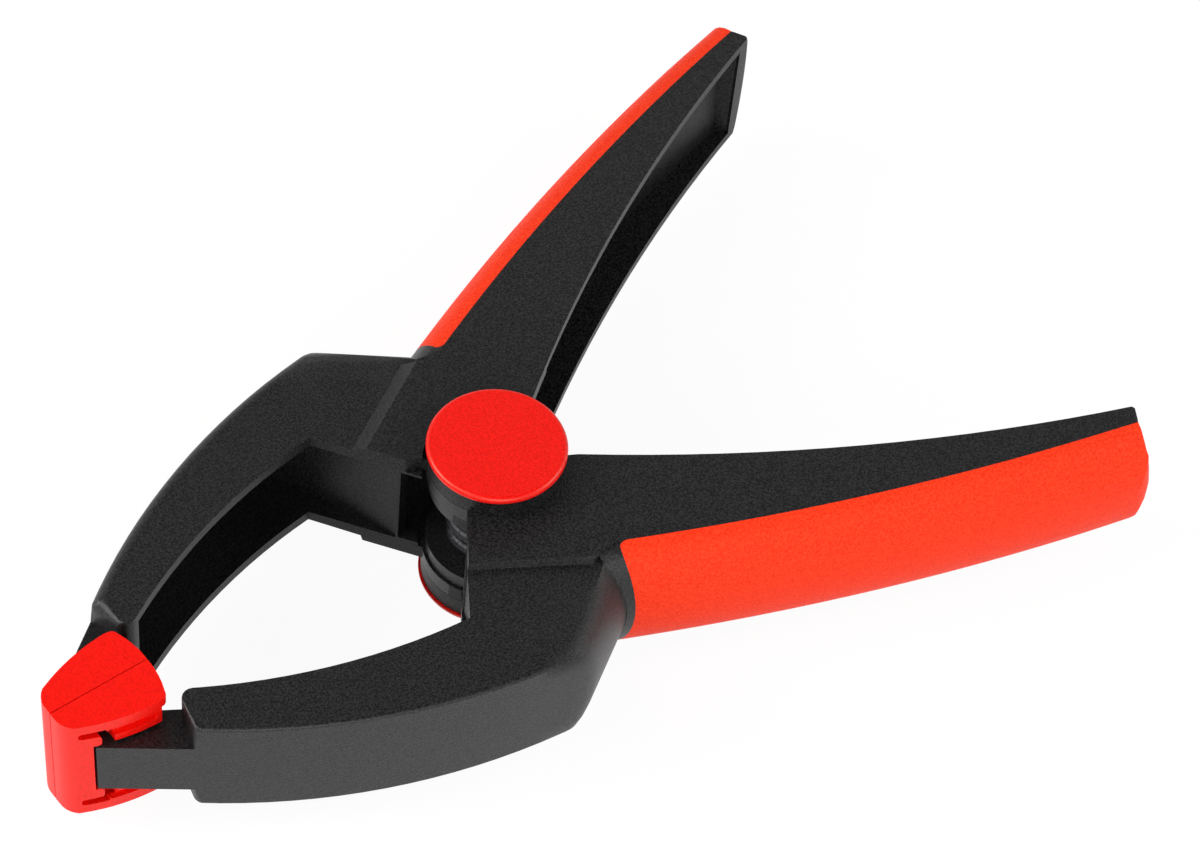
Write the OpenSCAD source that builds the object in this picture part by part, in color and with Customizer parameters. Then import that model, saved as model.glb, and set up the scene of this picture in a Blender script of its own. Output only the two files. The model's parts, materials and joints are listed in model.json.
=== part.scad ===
// Hand spring clamp: two identical arms, turned over on each other and joined at one pivot.
// A torsion spring at the pivot pushes the handles apart and so holds the jaws shut.
// X runs from the jaws (-) to the handles (+), Z is the pivot axis. The clamp lies on its
// lower cap: the origin is on the pivot axis, at that cap's flat face.

/* [Arms] */
// Thickness of the jaws
jaw_t = 24; // [22:0.5:25]
// Thickness of the hub and of the handles
hub_t = 27; // [26:0.5:29]
// Thickness of a jaw's side plates
jaw_plate = 2.2; // [1.8:0.1:2.6]
// Thickness of the hub's side plates, and of the ears
hub_plate = 3.1; // [2.8:0.1:3.2]
// Thickness of a handle's side plates
handle_plate = 2; // [1.6:0.1:2.4]
// Thickness of the walls that join the side plates
wall = 3; // [2.4:0.1:3.2]
// Width of the sloping step from jaw thickness to hub thickness
step_w = 2.6; // [1.5:0.1:3.5]

/* [Jaws] */
// Outer corner of the heel, from the pivot towards the jaws
heel_x = 14.2; // [13:0.1:15]
// Outer corner of the heel, from the middle plane
heel_y = 40.5; // [39:0.1:41]
// Inner corner of the throat, from the pivot towards the jaws
throat_x = 23.1; // [22:0.1:24]
// Inner corner of the throat, from the middle plane
throat_y = 23.6; // [22:0.1:24.5]
// End of the jaw's outer curve, from the pivot towards the jaws
jaw_end_x = 74.2; // [73.5:0.1:75]
// End of the jaw's outer curve, from the middle plane
jaw_end_y = 15.8; // [15:0.1:16.5]
// Rise of the jaw's outer curve over its chord
jaw_bow = 4.3; // [3:0.1:5]
// Rise of the jaw's inner curve over its chord
throat_bow = 2.9; // [2:0.1:3.6]
// Thickness of the tongue that carries the pad
tongue_t = 12.4; // [11:0.2:13]

/* [Handles] */
// Inner corner of the handle's end, from the pivot
handle_x = 102.9; // [95:0.5:108]
// Inner corner of the handle's end, from the middle plane
handle_y = 55.4; // [50:0.5:60]
// Rise of the handle's inner curve over its chord
handle_bow = 3.5; // [2:0.1:5]
// Start of the grip's edge, from the pivot
grip_x = 6.9; // [6:0.1:8]
// Start of the grip's edge, from the middle plane
grip_y = 25.9; // [25:0.1:27]
// Rise of the grip's edge over its chord
grip_bow = 2.4; // [1.5:0.1:3.5]
// How far the grip's rounded back stands out from its edge
grip_round = 7; // [6.5:0.1:8]
// Thickness of the soft grip at the middle of its back
grip_t = 2; // [1.4:0.1:2.4]

/* [Pads] */
// Distance from the pivot to the pads' noses
pad_nose = 92.2; // [91.8:0.1:92.6]
// Distance from the pivot to the pads' tails
pad_tail = 73; // [72.8:0.1:73.4]
// Width of one pad at its tail corner
pad_w = 8.4; // [8.2:0.1:8.8]
// Width of one pad at its nose corner
pad_nose_w = 4.1; // [3.8:0.1:4.6]
// Height of a pad
pad_t = 26; // [25:0.2:26.4]
// Thickness of a pad's side plates
pad_plate = 2; // [1.8:0.1:2.2]
// Gap between the closed pads
pad_gap = 0.2; // [0.1:0.05:0.4]
// Diameter of the trunnions that a pad turns on
trunnion_d = 3.6; // [3:0.1:3.8]

/* [Pivot] */
// Overall thickness, over both caps
clamp_h = 37.4; // [36.8:0.2:40]
// Diameter of a cap
cap_d = 25; // [24.6:0.1:25.4]
// Thickness of a cap's rim
cap_t = 1.1; // [1:0.1:1.5]
// Diameter of the collars and of the outer ears
collar_d = 24.2; // [23.8:0.1:24.4]
// Diameter of the pivot pin
pin_d = 6; // [5:0.1:6.4]
// Radial clearance of everything that turns on the pin
pin_play = 0.05; // [0.03:0.01:0.08]
// Axial clearance between stacked ears
ear_gap = 0.3; // [0.25:0.05:0.5]

/* [Spring] */
// Diameter of the spring wire
wire_d = 2.6; // [2:0.1:2.7]
// Radius of the coil, to the middle of the wire
coil_r = 6.9; // [6.7:0.1:7.4]
// Whole turns of the coil, to which the spread of the legs adds a part
coil_turns = 3; // [2:1:3]
// Direction in which each leg leaves the coil, from the X axis
leg_angle = 42; // [40:1:44]

/* [Hidden] */
$fn = 96;

mid_z = clamp_h / 2;
hub_z = hub_t / 2;

// Corners of one arm's outline, the arm on the +Y side
heel = [-heel_x, heel_y];
throat = [-throat_x, throat_y];
jaw_out = [-jaw_end_x, jaw_end_y];
jaw_in = jaw_out + [2.3, -8.5];
heel_round = 2;
heel_side_end = [1.5, 26.5];
jaw_end_round = 2;
step_a = [-17, 15.2];
step_b = [1.9, 26.2];
grip_start = [grip_x, grip_y];
handle_in = [handle_x, handle_y];
grip_end = handle_in + [-1.9, 3.1];
handle_root = [13, 7];
throat_root = [-10.6, 5.9];

// The web that closes the hub towards the throat leans away from the plates' edge
web_start = [-13.3, 10.3];
web_knee = [-18, 21.4];
web_end = [-22, 29.5];
web_t = 2.4;
web_mouth = [web_start + [0.3, -0.2], web_start + [3.2, 0.6], [-6, 4], [-16, 6.5]];
mouth_lip = 0.3;

// The hub's back wall, inside, between the heel and the handle, and where the hub opens
hub_wall_a = grip_start + [2, -wall];
hub_wall_b = [26, 29];
hub_mouth = [26, 12];

// The handle's back: the core under the grip stops a lip short of both faces. A full band
// stands before it, and swells down into the heel's side wall. The band and the grip start
// in arcs across the back: [place along the grip's edge on the middle plane, radius]
grip_lip = 1.5;
band_front = [1.2, 19.3];
grip_front = [2.7, 37.7];
band_from = -6;
band_to = 3;
back_reach = 60;
swell_d = 6.3;
swell_h = 12.9;
heel_swing = 5.6;
heel_swell_round = 3;

// The handle's end is a dome seen from the side, and its outer corner is rounded
end_dome = 1.7;
end_round = 4.5;

// The ears: an outer one below and an inner one above, on the arm of the +Y side
ear_r = collar_d / 2;
ear_relief_r = ear_r + 0.8;
inner_ear_r = ear_r - 0.5;
ear_in_z = hub_z - hub_plate;
inner_ear_top = ear_in_z - ear_gap;
inner_ear_t = 2.9;
inner_ear_low = inner_ear_top - inner_ear_t;
ear_root_r = 19;
ear_root = [[-7, 6], [-11.5, 17.5], [12, 19], [14, 10.5]];
// Clears the neighbouring ear's shoulder, just past the round of the relief
relief_nib = [[-12.8, 9.2], [-10.2, 8], [0, 0], [-16, 2]];

// The tongue and the trunnions
tongue_tip = [-87.4, 6.2];
tongue_tip_in = [-86.8, 2.8];
tongue_waist = [-80, 2.6];
trunnion = [-81, 4.6];
trunnion_reach = pad_t / 2 - pad_plate - 0.4;

// The pivot stack
pin_r = pin_d / 2;
bore_r = pin_r + pin_play;
washer_r = 6.5;
washer_t = 1;
ring_t = 0.8;
ring_r = 5;
groove_r = pin_r - 0.5;
pin_end = 2.9;
washer_play = 0.1;
cap_edge = 0.8;
cap_bottom = mid_z - cap_t;
collar_bore_r = 9.5;
spigot_r = collar_bore_r - 0.1;
spigot_t = 1.4;
spigot_h = 3;
sleeve_r = 4.4;

// ---- Plane geometry --------------------------------------------------------------------

// Radius of the arc over a chord of length c that rises by s
function arc_r(c, s) = (c * c / 4 + s * s) / (2 * s);
// Unit normal to the left of the way from a to b
function left_of(a, b) = [a.y - b.y, b.x - a.x] / norm(b - a);
// Centre of the arc from a to b that rises by s to the left of the way
function arc_c(a, b, s) = (a + b) / 2 - left_of(a, b) * (arc_r(norm(b - a), s) - s);
// Half of that arc's angle
function arc_half(a, b, s) = asin(norm(b - a) / 2 / arc_r(norm(b - a), s));
// Points along the arc from a to b, moved outwards by off
function arc_pts(a, b, s, n, off = 0) =
    let (h = arc_half(a, b, s), u = (b - a) / norm(b - a), r = arc_r(norm(b - a), s) + off)
    [for (i = [0:n]) let (t = -h + 2 * h * i / n)
        arc_c(a, b, s) + r * (cos(t) * left_of(a, b) + sin(t) * u)];
function reversed(p) = [for (i = [len(p) - 1:-1:0]) p[i]];
// Points that round the corner b of the way a, b, c to radius r
function corner(a, b, c, r, n = 5) =
    let (u = (a - b) / norm(a - b), v = (c - b) / norm(c - b), h = acos(u * v) / 2,
        m = b + (u + v) / norm(u + v) * r / sin(h), s = b + u * r / tan(h) - m,
        sweep = (180 - 2 * h) * sign(v.x * u.y - v.y * u.x))
    [for (i = [0:n]) let (t = sweep * i / n)
        m + [s.x * cos(t) - s.y * sin(t), s.x * sin(t) + s.y * cos(t)]];

// The heel's corner to radius r, where the jaw's back meets the heel's side
jaw_back = arc_pts(jaw_out, heel, jaw_bow, 16);
function heel_corner(r) = corner(heel_side_end, heel, jaw_back[15], r);

// Outline of one arm: jaw, heel and handle, drawn through the pivot
module arm_outline() {
    throat_arc = arc_pts(jaw_in, throat, throat_bow, 14);
    polygon(concat(
        heel_corner(heel_round),
        reversed([for (i = [0:15]) jaw_back[i]]),
        corner(jaw_out, jaw_in, throat_arc[1], jaw_end_round),
        [for (i = [1:14]) throat_arc[i]],
        [throat_root, [0, 0]],
        arc_pts(handle_root, handle_in, handle_bow, 16),
        [handle_in - end_dome * left_of(handle_in, grip_end), grip_end + end_dome * end_way],
        reversed(arc_pts(grip_start, grip_end, grip_bow, 16)),
        [heel_side_end]
    ));
}

// A slab that is t_jaw thick on the jaw's side of the step and t_hub thick beyond it
module stepped_slab(t_jaw, t_hub) {
    far = 150;
    along = step_b - step_a;
    translate([step_a.x, step_a.y, 0]) rotate([0, 0, atan2(along.y, along.x)])
        translate([-far, 0, 0]) rotate([90, 0, 90]) linear_extrude(2 * far)
            polygon([
                [-far, -t_hub / 2], [0, -t_hub / 2], [step_w, -t_jaw / 2], [far, -t_jaw / 2],
                [far, t_jaw / 2], [step_w, t_jaw / 2], [0, t_hub / 2], [-far, t_hub / 2]
            ]);
}

// Half an ellipse of depth b and half height a, from the grip's edge outwards
function back_curve(b, a, n = 14) =
    [for (i = [0:n]) let (t = -90 + 180 * i / n) [b * cos(t), a * sin(t)]];

// The grip's edge as an arc: centre, radius, half angle and the direction of its middle
edge_c = arc_c(grip_start, grip_end, grip_bow);
edge_r = arc_r(norm(grip_end - grip_start), grip_bow);
edge_half = arc_half(grip_start, grip_end, grip_bow);
edge_out = let (out = left_of(grip_start, grip_end)) atan2(out.y, out.x);

edge_l = 2 * edge_half * PI / 180 * edge_r;
// Direction of the edge at its start and at its end
start_angle = edge_out + edge_half - 90;
end_angle = edge_out - edge_half - 90;
end_way = [cos(end_angle), sin(end_angle)];

// Sweeps a profile of [distance outside the grip's edge, height] along that edge, between
// two places that count in millimetres from its start
module along_edge(from = 0, to = edge_l + end_dome) {
    per_mm = 180 / PI / edge_r;
    translate([edge_c.x, edge_c.y, 0]) rotate([0, 0, edge_out + edge_half - to * per_mm])
        rotate_extrude(angle = (to - from) * per_mm, $fn = 360) translate([edge_r, 0]) children();
}

// All that lies before an arc across the handle's back, as seen square to the back's start
module before(front) {
    translate([grip_start.x, grip_start.y, 0]) rotate([90, 0, start_angle])
        translate([front[0] - front[1], 0, 0]) rotate([0, 0, 180])
            cylinder(r = front[1], h = back_reach, center = true, $fn = 180);
}

// Rounds the grip's upper and lower corner at its start, as seen from above and below
module grip_corner() {
    start = [0.2, 0];
    round = 1.6;
    low = 8;
    for (s = [-1, 1])
        translate([grip_start.x, grip_start.y, s * (low + hub_z / 2)]) rotate([0, 0, start_angle])
            linear_extrude(hub_z, center = true) polygon(concat(
                corner(start + [5, 0], start, start + [0, 5], round),
                [start + [-1.5, round], start + [-1.5, -0.5], start + [round, -0.5]]
            ));
}

// What a dome leaves over at an end that lies along Y, where it faces +X, between two
// places along it
module dome_cut(from, to) {
    over = hub_z + 0.6;
    translate([0, to, 0]) rotate([90, 0, 0]) linear_extrude(to - from) polygon(concat(
        arc_pts([0, over], [0, -over], end_dome, 11),
        [[end_dome + 3, -over], [end_dome + 3, over]]
    ));
}

// What shapes the handle's end: the dome of the grip's part and of the bare part, which
// stand at an angle to each other, and the rounded outer corner
module end_cut() {
    bare = grip_end - handle_in;
    reach = grip_round + 3;
    inset = end_round + 0.05;
    translate([grip_end.x, grip_end.y, 0]) {
        rotate([0, 0, end_angle]) {
            dome_cut(-0.3, reach);
            translate([end_dome - inset, grip_round - inset, 0])
                linear_extrude(hub_t + 2, center = true) difference() {
                    square(end_round + 3);
                    circle(r = end_round);
                }
        }
        rotate([0, 0, atan2(bare.y, bare.x) - 90]) dome_cut(-reach, 0.1);
    }
}

// ---- The arm ---------------------------------------------------------------------------

// Hollow of the jaw, open towards the throat, up to the leaning web
module jaw_hollow() {
    tip = arc_pts(jaw_out, heel, jaw_bow, 16, -wall);
    linear_extrude(jaw_t - 2 * jaw_plate, center = true)
        polygon(concat(
            [web_start, web_knee, web_end],
            reversed([for (i = [1:13]) tip[i]]),
            [jaw_in + [3.2, 1.2], jaw_in + [4, -9], [-20, 4], [-15.5, 8.5]]
        ));
}

// Hollow of the hub, between the web, the heel's side wall and the handle
module hub_hollow() {
    side = left_of(heel, heel_side_end) * -wall;
    linear_extrude(hub_t, center = true)
        polygon([
            web_start + [web_t, 0.4], web_knee + [web_t, 0.8], web_end + [web_t + 0.6, 1],
            heel + side + [1.6, -0.6], heel_side_end + side, hub_wall_a,
            hub_wall_b, hub_mouth, [0, 0]
        ]);
    // the web stops short of the ears, and leaves an opening beside them
    linear_extrude(jaw_t - 2 * jaw_plate - 2 * mouth_lip, center = true) polygon(web_mouth);
}

// Hollow of the handle, open along its inner curve
module handle_hollow() {
    floor = arc_pts(grip_start, grip_end, grip_bow, 16, -1.2);
    linear_extrude(hub_t - 2 * handle_plate, center = true)
        polygon(concat(
            [for (i = [3:15]) floor[i]],
            [handle_in - [5.2, 1.4], handle_in - [3.4, 6], [60, 20], [24, 6], [20, 16]]
        ));
}

module ears_of_arm() {
    // outer ear, below
    translate([0, 0, -hub_z]) linear_extrude(hub_plate) {
        circle(r = ear_r);
        intersection() {
            arm_outline();
            circle(r = ear_root_r);
        }
    }
    // inner ear, above
    translate([0, 0, inner_ear_low]) linear_extrude(inner_ear_top - inner_ear_low) {
        circle(r = inner_ear_r);
        polygon(ear_root);
    }
    // root of the inner ear, up to the side plate
    translate([0, 0, inner_ear_low]) linear_extrude(ear_in_z - inner_ear_low + 1)
        difference() {
            polygon(ear_root);
            circle(r = ear_relief_r);
        }
}

module tongue() {
    linear_extrude(tongue_t, center = true)
        polygon([
            jaw_out + [1.4, 0.2], jaw_out, tongue_tip, tongue_tip_in, tongue_waist,
            jaw_in + [-0.2, 0.2], jaw_in + [1.4, 1.2]
        ]);
    translate([trunnion.x, trunnion.y, -trunnion_reach])
        cylinder(d = trunnion_d, h = 2 * trunnion_reach, $fn = 48);
}

// The rounded back under the grip, whose edges start just inside the side plates
module core() {
    half = hub_z - grip_lip;
    root = 0.3;
    curve = back_curve(grip_round - grip_t, half);
    along_edge() polygon(concat(
        [[-wall / 2, -half], [-root, -half]],
        [for (i = [1:len(curve) - 2]) curve[i]],
        [[-root, half], [-wall / 2, half]]
    ));
}

// The stretch of the handle's back under the band, as deep and half as high as stated
module band_body(depth, half) {
    along_edge(band_from, band_to) polygon(concat(
        [[-wall / 2, -half]], back_curve(depth, half), [[-wall / 2, half]]
    ));
}

// The heel's side wall: its section is an ellipse from the heel's corner, which swings out
// along the jaw's back and grows rounder towards the middle plane, to the band's front
module heel_swell() {
    slice = 0.4;
    swing = heel_swing * (heel - jaw_back[15]) / norm(heel - jaw_back[15]);
    hull() {
        for (t = [-90:15:90])
            translate([swing.x * cos(t), swing.y * cos(t), (jaw_t / 2 - slice / 2) * sin(t)])
                linear_extrude(slice, center = true)
                    let (edge = heel_corner(heel_round + heel_swell_round * cos(t)))
                        polygon(concat(edge, [edge[0] - [3, 3]]));
        intersection() {
            difference() {
                band_body(swell_d, swell_h, $fn = 32);
                before(band_front);
            }
            before(band_front + [slice, 0]);
            cube([100, 100, jaw_t], center = true);
        }
    }
}

// The full band before the grip, and the swelling in front of it
module band() {
    intersection() {
        union() {
            heel_swell();
            difference() {
                band_body(grip_round, hub_z);
                before(band_front);
            }
        }
        union() {
            before(grip_front);
            grip_corner();
        }
    }
}

// One arm, on the +Y side: its outer ear is below and its inner ear above
module arm() {
    difference() {
        union() {
            difference() {
                intersection() {
                    linear_extrude(hub_t, center = true) arm_outline();
                    stepped_slab(jaw_t, hub_t);
                }
                jaw_hollow();
                intersection() {
                    hub_hollow();
                    stepped_slab(jaw_t - 2 * jaw_plate, hub_t - 2 * hub_plate);
                }
                handle_hollow();
                translate([0, 0, -hub_t]) cylinder(r = ear_relief_r, h = 2 * hub_t);
            }
            core();
            band();
            ears_of_arm();
            tongue();
        }
        end_cut();
        // the other arm's outer ear turns in this recess
        translate([0, 0, ear_in_z - ear_gap]) linear_extrude(hub_t) {
            circle(r = ear_relief_r);
            polygon(relief_nib);
        }
        translate([0, 0, -hub_t]) cylinder(r = bore_r, h = 2 * hub_t);
    }
}

// ---- The soft grip ---------------------------------------------------------------------

module grip() {
    difference() {
        along_edge(from = -1) polygon(concat(
            back_curve(grip_round, hub_z),
            reversed(back_curve(grip_round - grip_t, hub_z - grip_lip))
        ));
        before(grip_front);
        grip_corner();
        end_cut();
    }
}

// ---- The pad ---------------------------------------------------------------------------

module pad_outline() {
    seam = pad_gap / 2;
    nose_low = [-pad_nose, 1.2];
    nose_high = [-pad_nose + 1.7, pad_nose_w + 0.8];
    back_low = [-pad_nose + 2.2, pad_nose_w + 1];
    back_high = [-pad_tail - 3.1, pad_w];
    tail_high = [-pad_tail - 2.5, pad_w - 0.1];
    tail_mid = [-pad_tail - 1.2, pad_w - 1.2];
    tail_low = [-pad_tail, 0.6];
    polygon(concat(
        [[-pad_nose, seam]],
        arc_pts(nose_low, nose_high, 0.5, 5),
        arc_pts(back_low, back_high, 0.7, 8),
        arc_pts(tail_high, tail_mid, 0.35, 4),
        arc_pts(tail_mid + [0.1, -0.3], tail_low, 0.3, 4),
        [[-pad_tail, seam]]
    ));
}

// A shape seen from the side, as places along X and heights, that reaches depth along Y
module across(points, depth) {
    translate([0, depth, 0]) rotate([90, 0, 0]) linear_extrude(depth) polygon(points);
}

module pad() {
    face_t = 1.5;
    cheek_x = [-84.2, -75.6];
    cheek_low = tongue_t / 2 + 0.8;
    inner_z = pad_t / 2 - pad_plate;
    nose_wall_x = -87.2;
    swing_r = 6.9;
    inside_y = pad_nose_w - 0.8;
    slot_low = inner_z - 1.8;
    slot_high = inner_z - 0.2;
    lip_z = inner_z - 0.8;
    difference() {
        union() {
            for (s = [-1, 1])
                translate([0, 0, s * (pad_t - pad_plate) / 2])
                    linear_extrude(pad_plate, center = true) pad_outline();
            // clamping face, at full height
            linear_extrude(pad_t, center = true) intersection() {
                pad_outline();
                translate([-pad_nose - 5, 0]) square([pad_nose, face_t + pad_gap / 2]);
            }
            // nose wall, hollowed about the trunnion so that the tongue's end swings clear
            linear_extrude(pad_t, center = true) difference() {
                intersection() {
                    pad_outline();
                    translate([nose_wall_x - 10, 0]) square([10, pad_w]);
                }
                translate([trunnion.x, trunnion.y]) circle(r = swing_r);
            }
            intersection() {
                linear_extrude(pad_t - 1, center = true) pad_outline();
                for (s = [-1, 1]) {
                    // nib of the nose wall, beside the tongue's end
                    low = [-86.35, s * (cheek_low - 0.4)];
                    high = [-86.35, s * (slot_low - 0.05)];
                    root = [-90, high.y];
                    translate([0, inside_y + 1.3, 0])
                        across(concat(
                            [root, [-90, low.y]], corner([-90, low.y], low, high, 0.6),
                            corner(low, high, root, 0.7)
                        ), pad_w);
                    // lip under the plate's edge
                    translate([0, 0, s * (lip_z + 1)]) linear_extrude(2, center = true)
                        polygon([[-89, 4.4], [-83.8, 6.2], [-83.8, pad_w], [-89, pad_w]]);
                }
            }
            // cheeks that hold the trunnions
            for (s = [-1, 1])
                translate([0, 0, s * (inner_z + cheek_low) / 2])
                    linear_extrude(inner_z - cheek_low + 0.2, center = true) intersection() {
                        pad_outline();
                        translate([cheek_x[0], 0]) square([cheek_x[1] - cheek_x[0], 2 * pad_w]);
                    }
        }
        // blind bearings of the trunnions
        translate([trunnion.x, trunnion.y, -trunnion_reach - 0.2])
            cylinder(r = trunnion_d / 2 + pin_play, h = 2 * trunnion_reach + 0.4, $fn = 48);
        for (s = [-1, 1]) {
            // slot that frees the nose wall's edge
            a = [-90.1, s * slot_low];
            b = [-90.1, s * slot_high];
            open = [-85.5, 0];
            translate([0, inside_y, 0])
                across(concat(
                    corner(a + [4, 0], a, b, 0.75), corner(a, b, b + [4, 0], 0.75),
                    [[open.x, b.y], [open.x, a.y]]
                ), pad_w);
            // groove along the cheek's outer face
            c = [8.1, s * (slot_low - 0.6)];
            d = [8.1, s * (slot_high - 0.3)];
            translate([cheek_x[0], 6.4, 0]) rotate([0, 0, 8.6])
                across(concat(
                    [[-1, d.y], [-1, c.y]], corner([-1, c.y], c, d, 0.8), corner(c, d, [-1, d.y], 0.8)
                ), 3);
        }
    }
}

// ---- The pivot -------------------------------------------------------------------------

// A collar on the outer face of the upper outer ear
module collar() {
    translate([0, 0, hub_z]) difference() {
        cylinder(r = ear_r, h = cap_bottom - hub_z);
        translate([0, 0, -1]) cylinder(r = collar_bore_r, h = cap_bottom);
    }
}

// A cap with a rounded edge, and the spigot that holds it in the collar
module cap() {
    r = cap_d / 2;
    edge = [for (i = [0:6]) let (t = 15 * i)
        [r - cap_edge + cap_edge * cos(t), mid_z - cap_edge + cap_edge * sin(t)]];
    rotate_extrude() polygon(concat(
        [[0, cap_bottom], [spigot_r - spigot_t, cap_bottom],
         [spigot_r - spigot_t, cap_bottom - spigot_h], [spigot_r, cap_bottom - spigot_h],
         [spigot_r, cap_bottom], [r, cap_bottom]],
        edge, [[0, mid_z]]
    ));
}

module washer(z) {
    translate([0, 0, z]) difference() {
        cylinder(r = washer_r, h = washer_t);
        translate([0, 0, -1]) cylinder(r = bore_r, h = washer_t + 2);
    }
}

// A snap ring, open on one side, in the pin's groove
module snap_ring(z) {
    translate([0, 0, z]) difference() {
        cylinder(r = ring_r, h = ring_t);
        translate([0, 0, -1]) cylinder(r = groove_r, h = ring_t + 2);
        translate([0, -groove_r * 0.8, -1]) cube([2 * ring_r, groove_r * 1.6, ring_t + 2]);
    }
}

washer_z = hub_z + washer_play;
ring_z = washer_z + washer_t;

module pin() {
    half = hub_z + pin_end;
    difference() {
        translate([0, 0, -half]) cylinder(r = pin_r, h = 2 * half);
        for (z = [ring_z, -ring_z - ring_t])
            translate([0, 0, z]) difference() {
                cylinder(r = pin_r + 1, h = ring_t);
                cylinder(r = groove_r, h = ring_t);
            }
    }
}

module sleeve() {
    half = inner_ear_low - 0.2;
    translate([0, 0, -half]) difference() {
        cylinder(r = sleeve_r, h = 2 * half);
        translate([0, 0, -1]) cylinder(r = bore_r, h = 2 * half + 2);
    }
}

// ---- The spring ------------------------------------------------------------------------

ring_per_turn = 8;
wire_sides = 6;
coil_half_h = inner_ear_low - wire_d / 2 - 0.4;
coil_from = leg_angle + 90;
coil_sweep = 360 * coil_turns + 2 * (180 - coil_from);
coil_rings = round(coil_sweep / 360 * ring_per_turn);
leg_l = 20;
leg_bend = 1.9;
foot_play = 0.1;

function coil_pt(t) =
    let (a = coil_from + coil_sweep * t)
    [coil_r * cos(a), coil_r * sin(a), coil_half_h * (2 * t - 1)];
// The leg on the +Y side: from its foot, square to the hub's back wall, round to the coil
leg_dir = [cos(leg_angle), sin(leg_angle)];
foot_dir = left_of(hub_wall_a, hub_wall_b);
leg_knee = coil_r * [cos(coil_from), sin(coil_from)] + leg_l * leg_dir;
foot_l = (hub_wall_a - leg_knee) * foot_dir - foot_play;
leg_in = concat(
    [leg_knee + foot_l * foot_dir, leg_knee + leg_bend * foot_dir],
    [for (t = [0.25, 0.5, 0.75])
        leg_knee + leg_bend * ((1 - t) * (1 - t) * foot_dir - t * t * leg_dir)],
    [leg_knee - leg_bend * leg_dir]
);
leg_right = [for (p = leg_in) [p.x, p.y, -coil_half_h]];
leg_left = [for (p = reversed(leg_right)) [p.x, -p.y, -p.z]];
spring_path = concat(leg_right, [for (i = [0:coil_rings]) coil_pt(i / coil_rings)], leg_left);

function unit(v) = v / norm(v);
function path_dir(p, i) = unit(p[min(i + 1, len(p) - 1)] - p[max(i - 1, 0)]);
// One ring of the tube, square to the path, with its first corner towards +Z
function tube_ring(p, i, r, n) =
    let (d = path_dir(p, i), s = unit(cross(d, [0, 0, 1])), u = cross(s, d))
    [for (k = [0:n - 1]) p[i] + r * (cos(360 * k / n) * u + sin(360 * k / n) * s)];

module tube(p, r, n) {
    last = len(p) - 1;
    points = [for (i = [0:last]) each tube_ring(p, i, r, n)];
    sides = [for (i = [0:last - 1]) for (k = [0:n - 1])
        let (a = i * n + k, b = i * n + (k + 1) % n)
        each [[a, b, b + n], [a, b + n, a + n]]];
    ends = [for (k = [1:n - 2]) each [[0, k + 1, k], [last * n, last * n + k, last * n + k + 1]]];
    polyhedron(points, concat(sides, ends), convexity = 6);
}

// Least gap between the spring's own turns, measured between points of its path
function self_gap(p, skip) = min([for (i = [0:len(p) - 1])
    for (j = [i + skip:1:len(p) - 1]) norm(p[i] - p[j])]) - wire_d;
echo(spring_gap_mm = self_gap(spring_path, ring_per_turn - 2));

// ---- The nodes -------------------------------------------------------------------------

// Raises what is drawn about the middle plane on to the lower cap's face
module raised() { translate([0, 0, mid_z]) children(); }
// Turns a part over, from the +Y side to the -Y side
module turned() { rotate([180, 0, 0]) children(); }

module right_arm() { color("#2b2b2d") raised() arm(); }
module left_arm() { color("#2b2b2d") raised() turned() arm(); }
module right_grip() { color("#f0402c") raised() grip(); }
module left_grip() { color("#f0402c") raised() turned() grip(); }
module right_pad() { color("#e8221a") raised() pad(); }
module left_pad() { color("#e8221a") raised() turned() pad(); }
module pivot_pin() { color("#b9bcc0") raised() pin(); }
module spring_sleeve() { color("#3c3c3e") raised() sleeve(); }
module torsion_spring() { color("#8f9296") raised() tube(spring_path, wire_d / 2, wire_sides); }
module top_collar() { color("#2b2b2d") raised() collar(); }
module bottom_collar() { color("#2b2b2d") raised() turned() collar(); }
module top_cap() { color("#e8221a") raised() cap(); }
module bottom_cap() { color("#e8221a") raised() turned() cap(); }
module top_washer() { color("#c4c6c9") raised() washer(washer_z); }
module bottom_washer() { color("#c4c6c9") raised() turned() washer(hub_z); }
module top_retaining_ring() { color("#8f9296") raised() snap_ring(ring_z); }
module bottom_retaining_ring() { color("#8f9296") raised() turned() snap_ring(ring_z); }

left_arm();
right_arm();
left_grip();
right_grip();
left_pad();
right_pad();
pivot_pin();
spring_sleeve();
torsion_spring();
top_collar();
bottom_collar();
top_cap();
bottom_cap();
top_washer();
bottom_washer();
top_retaining_ring();
bottom_retaining_ring();
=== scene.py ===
# %% [markdown]
# # A hand spring clamp
# Two nylon arms cross at a pivot, and a torsion spring holds the jaws shut. The packed
# model gives every piece its place and size, in metres, with Z up and the clamp lying on its
# lower cap. Each cell below gives one piece or one finish the look of the real thing.

# %% Load the frame
import json
import math

import bmesh
import bpy
from mathutils import Matrix, Vector


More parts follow.
